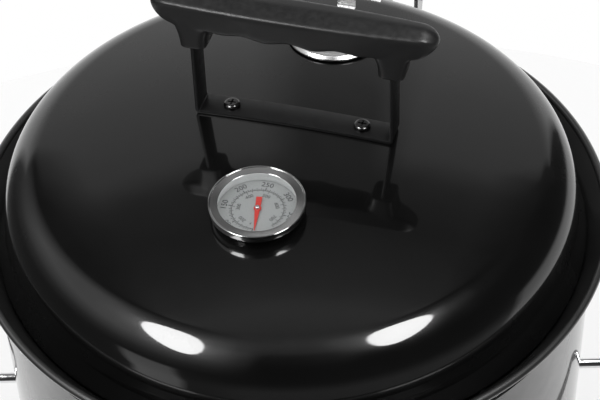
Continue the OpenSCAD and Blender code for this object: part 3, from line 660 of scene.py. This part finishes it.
def upper_section():
    inner = WALL_R - SHEET_T
    wall_top = RIM_Z - 13
    neck_z = RIM_Z - 8
    outside = rounded(
        [
            (WALL_R, wall_top, 6),
            (WALL_R - 0.8, neck_z, 5),
            (SEAT_X + SHEET_T, RIM_Z - 2, 3),
            (SEAT_X + SHEET_T + 0.4, RIM_Z, 2),
            (BEAD_X + 0.6, RIM_Z + BEAD_Z - 1),
        ]
    )
    bead = arc(BEAD_X, RIM_Z + BEAD_Z, BEAD_R, -75, 195, 28)
    inside = rounded(
        [
            (SEAT_X, RIM_Z, 3),
            (SEAT_X, RIM_Z - 2, 3),
            (inner - 0.8, neck_z - 0.6, 5),
            (inner, wall_top, 5),
            (inner, JOINT_Z),
        ]
    )
    # the bead takes the place of the outside's last corner
    outline = foot_bead(JOINT_Z) + [(WALL_R, JOINT_Z + 4)] + outside[:-1] + bead + inside
    shell = revolved("upper_section", outline, 0, SHEET_SEGMENTS)
    new_piece(
        "upper_section", shell, BODY_ENAMEL, "smoker_body", ["upper_barrel"]
    )


def door_cutter():
    """A curved block at the front, as wide and high as the door opening."""
    steps = 48
    corners = [
        (WALL_R + DOOR_CUT_DEPTH * side, DOOR_Z + DOOR_H / 2 * end)
        for side, end in ((-1, -1), (1, -1), (1, 1), (-1, 1))
    ]
    rings = []
    for i in range(steps + 1):
        a = math.radians(-90 - DOOR_HALF_ANGLE + 2 * DOOR_HALF_ANGLE * i / steps)
        rings.append([(r * math.cos(a) * MM, r * math.sin(a) * MM, z * MM) for r, z in corners])
    return lofted("opening", rings)


def lower_section():
    outline = foot_bead(BOWL_Z) + rounded(spigot(JOINT_Z)) + [(WALL_R - SHEET_T, BOWL_Z)]
    shell = cut(revolved("lower_section", outline, 0, SHEET_SEGMENTS), door_cutter())
    new_piece(
        "lower_section", shell, BODY_ENAMEL, "smoker_body", ["lower_barrel"]
    )


def bowl_section():
    def line(depth):
        corner = arc(
            WALL_R - BOWL_CORNER, BOWL_BOTTOM_Z + BOWL_CORNER, BOWL_CORNER - depth, 0, -90, 36
        )
        return corner + [(0, BOWL_BOTTOM_Z + depth)]

    outline = line(0) + line(SHEET_T)[::-1] + rounded(spigot(BOWL_Z))[::-1]
    holes = vent_holes(UPRIGHT, VENT_HOLE_R, BOWL_BOTTOM_Z - 5, BOWL_BOTTOM_Z + 8)
    shell = cut(revolved("bowl_section", outline, 0, SHEET_SEGMENTS), holes)
    new_piece("bowl_section", shell, BODY_ENAMEL, "smoker_body", ["fire_bowl"])


upper_section()
lower_section()
bowl_section()


# ---------------------------------------------------------------- lid handle
def crown_height(x, y, lift=0.0):
    return RIM_Z + CROWN_CZ + math.sqrt((CROWN_R + lift) ** 2 - x * x - y * y)


def strap_stations():
    """(x, z) down the left leg, round its bend, along the crown with no z, and up again."""
    half = STRAP_SPAN / 2
    bend_z = crown_height(half, STRAP_Y) + STRAP_BEND_R
    leg = [(-half, STRAP_TOP + RIM_Z - 6 * k) for k in range(13)]
    leg = [(x, z) for x, z in leg if z > bend_z + 3] + [(-half, bend_z + 0.01)]
    bend = arc(-half + STRAP_BEND_R, bend_z, STRAP_BEND_R, 195, 255, 4)
    flat = [(-half + STRAP_BEND_R + (half - STRAP_BEND_R) * k / 20, None) for k in range(41)]
    return leg + bend + flat + [(-x, z) for x, z in (leg + bend)[::-1]]


def strap_corner(x, z, y, face):
    """A corner of the strap's section; face is 0 on its outer and under side, and 1 opposite."""
    half = STRAP_SPAN / 2
    edge_z = crown_height(half, STRAP_Y)
    bend_z = edge_z + STRAP_BEND_R
    if z is None:
        return x, crown_height(x, y, STRAP_CLEARANCE + STRAP_T * face)
    if z >= bend_z:
        return x - math.copysign(STRAP_T * face, x), z
    # the bend sinks with the crown's own fall across the strap's width
    centre = math.copysign(half - STRAP_BEND_R, x)
    out = Vector((x - centre, z - bend_z)).normalized()
    reach = STRAP_BEND_R - STRAP_T * face
    sink = (crown_height(half, y) - edge_z) * min(1.0, (bend_z - z) / STRAP_BEND_R)
    return centre + out.x * reach, bend_z + out.y * reach + sink


def strap():
    """The flat strap: up one side, round a bend, along the crown and up the other side."""
    corners = ((0, -STRAP_W / 2), (0, STRAP_W / 2), (1, STRAP_W / 2), (1, -STRAP_W / 2))
    rings = []
    for x, z in strap_stations():
        ring = []
        for face, across in corners:
            y = STRAP_Y + across
            px, pz = strap_corner(x, z, y, face)
            ring.append((px * MM, y * MM, pz * MM))
        rings.append(ring)
    blank = linked("strap_blank", lofted("strap_bracket", rings))
    edge = blank.modifiers.new("edge", "BEVEL")
    edge.width = 0.0004
    edge.segments = 2
    edge.limit_method = "ANGLE"
    edge.angle_limit = math.radians(50)
    mesh = applied(blank, "strap_bracket")
    new_piece("strap_bracket", mesh, BLACK_STEEL, "lid", ["handle_strap"], 30)


def bar_section(x):
    """Half width, underside, front ridge and top there; the ends close like a boat's bow."""
    t = abs(x) / GRIP_HALF
    bow = max(0.0, (abs(x) - (GRIP_HALF - GRIP_BOW)) / GRIP_BOW)
    close = math.sqrt(max(0.0, 1 - bow**2))
    fade = max(0.0, 1 - (x / WAVE_HALF) ** 4)
    wave = WAVE_HEIGHT * math.cos(2 * math.pi * x / WAVE_LENGTH) * fade
    rise = END_RISE * max(0.0, (abs(x) - END_RISE_FROM) / (GRIP_HALF - END_RISE_FROM)) ** 1.4
    low = GRIP_UNDER + 1 + wave + rise
    top = GRIP_TOP - 1.5 * t**2
    ridge = top - 3.6
    middle = (ridge + low) / 2
    return (
        (GRIP_W / 2 - 5.5 * t**2) * (0.12 + 0.88 * close),
        middle + (low - middle) * close,
        middle + (ridge - middle) * close,
        middle + (top - middle) * close,
    )


def bar_ring(x):
    half, low, ridge, top = bar_section(x)
    shape = rounded(
        [
            (-half + 1.4 * half / 15, low, 0.22 * half),
            (half * 0.78, low, 0.4 * half),
            (half, low + (top - low) * 0.4, 0.5 * half),
            (half * 0.82, top - 1.6, 0.4 * half),
            (0, top, half),
            (-half, ridge, 0.15 * half),
        ],
        7,
    )
    return [(x * MM, (STRAP_Y + y) * MM, (RIM_Z + z) * MM) for y, z in shape]


def grip_bar():
    """The bar along X, with its stations closer together towards the ends."""
    steps = 60
    rings = []
    for k in range(-steps, steps + 1):
        t = k / steps
        rings.append(bar_ring(GRIP_HALF * math.copysign(1 - (1 - abs(t)) ** 1.35, t) * 0.999))
    return lofted("bar", rings)


def grip_socket(side):
    """The squarish sleeve down the strap's leg; it widens into the bar, most of all inwards."""
    steps = 20
    points = 32
    squareness = 0.42
    rings = []
    for k in range(steps + 1):
        t = k / steps
        z = SOCKET_LOW + t * (GRIP_UNDER + 8 - SOCKET_LOW)
        taper = 0.32 * (1 - t) ** 2
        inner = 12 + 14 * max(0.0, t - 0.2) ** 2.2 - taper
        outer = 8 + 6 * t**2 - taper
        depth = 11.6 + 0.4 * t
        ring = []
        for j in range(points):
            c = math.cos(2 * math.pi * j / points)
            s = math.sin(2 * math.pi * j / points)
            px = math.copysign(abs(c) ** squareness, c)
            py = math.copysign(abs(s) ** squareness, s)
            x = side * STRAP_SPAN / 2 + px * (outer if px * side > 0 else inner)
            ring.append((x * MM, (STRAP_Y + py * depth) * MM, (RIM_Z + z) * MM))
        rings.append(ring)
    return lofted("socket", rings)


def grip():
    """The moulded grip, with its two sockets grown from the bar."""
    body = linked("grip_body", joined("grip_body", [grip_bar(), grip_socket(-1), grip_socket(1)]))
    remesh = body.modifiers.new("skin", "REMESH")
    remesh.mode = "VOXEL"
    remesh.voxel_size = 0.0011
    smooth = body.modifiers.new("soften", "SMOOTH")
    smooth.factor = 0.5
    smooth.iterations = 7
    mesh = applied(body, "grip_moulding")
    new_piece("grip_moulding", mesh, GRIP_PLASTIC, "lid", ["handle_grip"], 80)


strap()
grip()


# ---------------------------------------------------------------- thermometer
def bezel():
    ledge_z = LENS_Z + 1.6
    floor_z = DIAL_Z - 0.6
    outline = rounded(
        [
            (5, 0.6),
            (GAUGE_R - 5, 0.6, 0.6),
            (GAUGE_R - 2.2, 3, 1.5),
            (GAUGE_R - 1.1, 6, 0.4),
            (GAUGE_R, 6.4, 0.35),
            (GAUGE_R, GAUGE_H, 0.8),
            (GAUGE_R - 1.0, GAUGE_H, 0.3),
            (GAUGE_R - 1.25, GAUGE_H - 0.45, 0.2),
            (BEZEL_IN_R, GAUGE_H - 0.8, 0.3),
            (BEZEL_IN_R, ledge_z, 0.1),
            (DIAL_R + 0.4, ledge_z),
            (DIAL_R + 0.4, floor_z),
            (5, floor_z),
        ],
        6,
    )
    mesh = revolved("bezel", outline, 0, 192, GAUGE)
    new_piece("bezel", mesh, BEZEL_STEEL, "lid", ["gauge_case"], 30)
    # the bezel's inner wall between the lens's ring and the dial, painted pale grey as painted light
    # for the light it catches
    mesh.materials.append(LIT_WALL_PAINT)
    to_gauge = GAUGE.inverted()
    for face in mesh.polygons:
        place = to_gauge @ face.center
        within = math.hypot(place.x, place.y) < (DIAL_R + 0.6) * MM and place.z > floor_z * MM
        if within and abs((to_gauge.to_3x3() @ face.normal).z) < 0.5:
            face.material_index = 1


def needle_pin():
    """The cap of the needle's spindle, over its hub."""
    low = DIAL_Z + 1.0
    outline = rounded([(0, low), (1.5, low), (1.5, low + 2.1, 0.6), (0, low + 2.4)], 5)
    mesh = revolved("needle_pin", outline, 0, 48, GAUGE)
    new_piece("needle_pin", mesh, ZINC, "needle", (), 50)


# The dial stands square to the camera, so its print is turned against the lid
DIAL_TURN = -VIEW_AZIMUTH
SCALE_LOW = 50
SCALE_HIGH = 390
SCALE_START = math.radians(-168)
SCALE_STEP = math.radians(0.93)
SCALE_R = 17.6
SCALE_LINE = 0.3


def dial_place(angle, radius, height):
    """A frame on the dial at that angle clockwise from its top."""
    return (
        GAUGE
        @ Matrix.Rotation(-(DIAL_TURN + angle), 4, "Z")
        @ Matrix.Translation((0, radius * MM, height * MM))
    )


def scale_angle(celsius):
    return SCALE_START + SCALE_STEP * (celsius - SCALE_LOW)


def tick(angle, radius, width, length):
    bar = bmesh.new()
    bmesh.ops.create_cube(bar, size=1)
    place = dial_place(angle, radius, DIAL_Z + 0.03)
    bar.transform(place @ Matrix.Diagonal((width * MM, length * MM, PRINT_T * MM, 1)))
    return as_mesh("tick", bar)


def lettering(text, size, angle, radius):
    curve = bpy.data.curves.new("numeral", "FONT")
    curve.body = text
    curve.size = size * MM
    curve.align_x = "CENTER"
    curve.align_y = "CENTER"
    curve.extrude = 0.00003
    curve.resolution_u = 3
    mesh = applied(linked("numeral", curve), "numeral")
    mesh.transform(dial_place(angle, radius, DIAL_Z + 0.03))
    return mesh


def scale_line():
    """The thin printed ring between the two scales."""
    steps = 120
    edge = SCALE_R + SCALE_LINE
    top = DIAL_Z + PRINT_T
    corners = ((SCALE_R, DIAL_Z), (edge, DIAL_Z), (edge, top), (SCALE_R, top))
    rings = []
    for k in range(steps + 1):
        place = dial_place(
            scale_angle(SCALE_LOW + (SCALE_HIGH - SCALE_LOW) * k / steps), 0, 0
        )
        rings.append([place @ Vector((0, r * MM, z * MM)) for r, z in corners])
    return lofted("arc_mark", rings)


def dial_marks():
    """Two temperature scales: degrees C outside the ring and degrees F inside it."""
    marks = [scale_line()]
    for value in range(SCALE_LOW, SCALE_HIGH + 1, 5):
        major = value % 50 == 0
        length = 2.6 if major else 1.9 if value % 10 == 0 else 1.3
        width = 0.6 if major else 0.42
        marks.append(tick(scale_angle(value), SCALE_R + 0.2 + length / 2, width, length))
    for value in range(100, 351, 50):
        marks.append(lettering(str(value), 5.8, scale_angle(value), 23.2))
    for value in range(150, 726, 25):
        angle = scale_angle((value - 32) / 1.8)
        major = value % 100 == 0
        length = 1.9 if major else 1.1
        marks.append(tick(angle, SCALE_R - 0.1 - length / 2, 0.36, length))
        if major:
            marks.append(lettering(str(value), 3.9, angle, 13.2))
    for text, radius in (("C", 21.8), ("F", 13.2)):
        marks.append(lettering(text, 2.6, math.radians(-158), radius))
    mesh = joined("dial_marks", marks)
    new_piece("dial_marks", mesh, INK, "lid", (), 30)


bezel()
needle_pin()
dial_marks()


# ---------------------------------------------------------------- top vent
def vent_disc():
    """A pressed disc with a raised rim and hub, four air holes, and a thumb tab at its back."""
    outline = rounded(
        [
            (RIVET_R, 3.4, 0.2),
            (12, 3.4, 1),
            (13, 0.4, 1),
            (VENT_R - 7.2, 0.4, 1),
            (VENT_R - 5.6, 2.2, 1),
            (VENT_R - 3, 2.6, 1),
            (VENT_R - 1, 0.6, 0.3),
            (VENT_R, 0.8, 0.3),
            (VENT_R, 1.8, 0.5),
            (VENT_R - 2.4, 4.0, 1),
            (VENT_R - 6.4, 3.6, 1.4),
            (VENT_R - 7.8, 1.6, 1),
            (13.8, 1.6, 1),
            (12.8, 4.6, 1),
            (RIVET_R, 4.6, 0.2),
        ],
        5,
    )
    disc = revolved("vent_disc", outline, 0, 160, VENT)
    disc = cut(disc, vent_holes(VENT, VENT_HOLE_R - 0.5, -4, 12, with_rivet=False))
    tab_z = 2.6
    tab_top = tab_z + 12
    tab = rounded(
        [
            (VENT_R - 6, tab_z),
            (VENT_R + 3, tab_z, 1.6),
            (VENT_R + 3, tab_top, 0.5),
            (VENT_R + 1.8, tab_top, 0.5),
            (VENT_R + 1.8, tab_z + 1.2, 0.5),
            (VENT_R - 6, tab_z + 1.2),
        ]
    )
    rings = [[VENT @ Vector((x * MM, y * MM, z * MM)) for y, z in tab] for x in (-7, 7)]
    mesh = joined("vent_disc", [disc, lofted("tab", rings)])
    new_piece("vent_disc", mesh, VENT_STEEL, "lid_vent", ["vent_damper"], 30)


vent_disc()


# ---------------------------------------------------------------- CAD nodes that stay as they are
FINISHES = {
    "black_enamel": ENAMEL,
    "black_steel": BLACK_STEEL,
    "grip_plastic": GRIP_PLASTIC,
    "stainless": SHEET_STEEL,
    "zinc_steel": ZINC,
    "chrome_wire": CHROME,
    "lens_glass": GLASS,
    "dial_face": DIAL,
    "needle_red": RED,
    "foot_plastic": FOOT_PLASTIC,
}
SPECIAL = {
    "door_panel": BODY_ENAMEL,
    "water_pan": BODY_ENAMEL,
    "charcoal_pan": BODY_ENAMEL,
    "handle_plate_screws": BLACK_ZINC,
    "vent_rivet": VENT_STEEL,
    "bottom_damper": DAMPER_STEEL,
    "latch_lever_left": LEVER_STEEL,
    "latch_lever_right": LEVER_STEEL,
    "latch_plates": LEVER_STEEL,
    "gauge_stem": BEZEL_STEEL,
}
for sub in frame["record"]["subparts"]:
    node = sub["node"]
    paint(frame["nodes"][node], SPECIAL.get(node, FINISHES[sub["material_slot"]]))


# ---------------------------------------------------------------- floor, light and camera
AMBIENT = 1.12
FLOOR_RADIUS = 1.1
LIGHT_TARGET = Vector((0, 0, 0.75))


def floor():
    plane = bmesh.new()
    bmesh.ops.create_circle(plane, cap_ends=True, radius=FLOOR_RADIUS, segments=96)
    piece = linked("floor", as_mesh("floor", plane))
    s = Shader("pale_floor", (0.86, 0.86, 0.86), 0.8, specular_ior_level=0.2)
    s.color(s.mixed(s.noise(3, 3), (0.85, 0.85, 0.85), (0.87, 0.87, 0.87)))
    paint(piece, s.material)


def direction(azimuth, elevation):
    """Azimuth is from the view's far side, positive to its right; both are in degrees."""
    a = math.radians(azimuth) - VIEW_AZIMUTH
    e = math.radians(elevation)
    return Vector((math.sin(a) * math.cos(e), math.cos(a) * math.cos(e), math.sin(e)))


def softbox(name, centre, along, length, width, strength, distance=2.2, seen_by="glossy"):
    """An area light whose long axis points from its centre towards another direction.

    Directions are (azimuth, elevation); length and width are the angles it fills, in degrees.
    """
    light = bpy.data.lights.new(name, "AREA")
    light.shape = "ELLIPSE"
    light.size = 2 * distance * math.tan(math.radians(width / 2))
    light.size_y = 2 * distance * math.tan(math.radians(length / 2))
    area = math.pi * light.size * light.size_y / 4
    light.energy = strength * area * math.pi
    lamp = linked(name, light)
    way = direction(*centre)
    across = direction(*along).cross(way).normalized()
    turn = Matrix((across, way.cross(across), way)).transposed().to_4x4()
    lamp.matrix_world = Matrix.Translation(LIGHT_TARGET + way * distance) @ turn
    lamp.visible_camera = False
    lamp.visible_diffuse = seen_by != "glossy"
    lamp.visible_glossy = seen_by != "diffuse"


def studio():
    w = World()
    turned = w.node("ShaderNodeVectorRotate", rotation_type="Z_AXIS")
    turned.inputs["Angle"].default_value = -VIEW_AZIMUTH
    w.link(w.coordinates, turned.inputs["Vector"])
    parts = w.node("ShaderNodeSeparateXYZ")
    w.link(turned.outputs[0], parts.inputs[0])
    x, y, z = parts.outputs
    azimuth = w.math("MULTIPLY", w.math("ARCTAN2", x, y), 180 / math.pi)
    elevation = w.math("MULTIPLY", w.math("ARCSINE", z), 180 / math.pi)
    height = w.between(elevation, 0, 1, -90, 90)

    def by_height(*stops):
        """Greys by elevation in degrees."""
        return w.ramp(height, [((degrees + 90) / 180, grey) for degrees, grey in stops])

    def window(low, high, soft):
        """1 between two azimuths, with soft sides; each limit is a number or a socket."""
        inside = [w.math("SUBTRACT", azimuth, low), w.math("SUBTRACT", high, azimuth)]
        return w.math("MULTIPLY", *(w.between(s, 0, 1, -soft, soft) for s in inside))

    # a white backdrop whose top corners are cut away, under a dim ceiling
    left_edge = w.between(elevation, -40, -21.5, 22, 38)
    right_edge = w.between(elevation, 37, 21.5, 32, 43)
    back = by_height(
        (-30, 1.0), (15, 1.0), (27, 0.7), (35, 0.52), (43, 0.44), (46, 0.17), (51, 0.1),
        (55, 0.17), (58, 0.24), (60, 0.4), (63, 0.28), (90, 0.3),
    )
    # a grey strip down the backdrop's middle
    gap = by_height(
        (-30, 0.9), (20, 0.7), (32, 0.3), (40, 0.17), (51, 0.12), (58, 0.24), (60, 0.4),
        (63, 0.28), (90, 0.3),
    )
    # unlit surroundings, a low step at the right, a glow at the left and a white patch below it
    dark = by_height((-40, 0.25), (-10, 0.05), (30, 0.03), (60, 0.05), (70, 0.2), (90, 0.3))
    right = by_height((-8, 0.75), (0, 0.04), (45, 0.03), (60, 0.06), (70, 0.2), (90, 0.3))
    glow = by_height(
        (-25, 0.06), (0, 0.08), (13, 0.22), (36, 0.85), (60, 0.7), (68, 0.3), (90, 0.3)
    )
    patch = by_height((-40, 0.9), (-7, 0.9), (-3, 0.1), (90, 0.3))
    low = w.between(elevation, 1, 0, -6, -3)
    around = w.mixed(window(34, 96, 3), dark, right)
    around = w.mixed(window(-150, -44, 14), around, glow)
    around = w.mixed(w.math("MULTIPLY", window(-138, -118, 2), low), around, patch)
    around = w.mixed(window(left_edge, right_edge, 2.2), around, back)
    around = w.mixed(window(-1, 9, 2), around, gap)
    path = w.node("ShaderNodeLightPath")
    lit = w.mixed(path.outputs["Is Diffuse Ray"], around, (AMBIENT,) * 3)
    seen = w.mixed(path.outputs["Is Camera Ray"], lit, (1.0, 1.0, 1.0))
    w.link(seen, w.background.inputs["Color"])
    w.background.inputs["Strength"].default_value = 1.0


def camera():
    data = bpy.data.cameras.new("camera")
    data.sensor_width = SENSOR_WIDTH
    data.lens = LENS_LENGTH
    data.clip_start = 0.05
    data.clip_end = 30
    eye = linked("camera", data)
    flat = Matrix.Rotation(VIEW_AZIMUTH, 3, "Z")
    forward = flat @ Vector((0, math.cos(VIEW_PITCH), -math.sin(VIEW_PITCH)))
    level = flat @ Vector((1, 0, 0))
    top = level.cross(forward)
    right = math.cos(VIEW_ROLL) * level + math.sin(VIEW_ROLL) * top
    up = -math.sin(VIEW_ROLL) * level + math.cos(VIEW_ROLL) * top
    offset = right * VIEW_OFFSET[0] + up * VIEW_OFFSET[1]
    place = (Vector((0, 0, RIM_Z)) - forward * VIEW_DISTANCE + offset) * MM
    turn = Matrix((right, up, -forward)).transposed().to_4x4()
    eye.matrix_world = Matrix.Translation(place) @ turn
    bpy.context.scene.camera = eye


floor()
studio()
softbox("softbox_left", (-122, 54), (-55, 69), 46, 16, 20)
softbox("softbox_right", (120, 64), (33, 69), 42, 15, 20)
softbox("fill", (-60, 60), (-60, 90), 60, 60, 0.35, 3.0, "diffuse")
camera()
bpy.context.scene.view_settings.view_transform = "Standard"
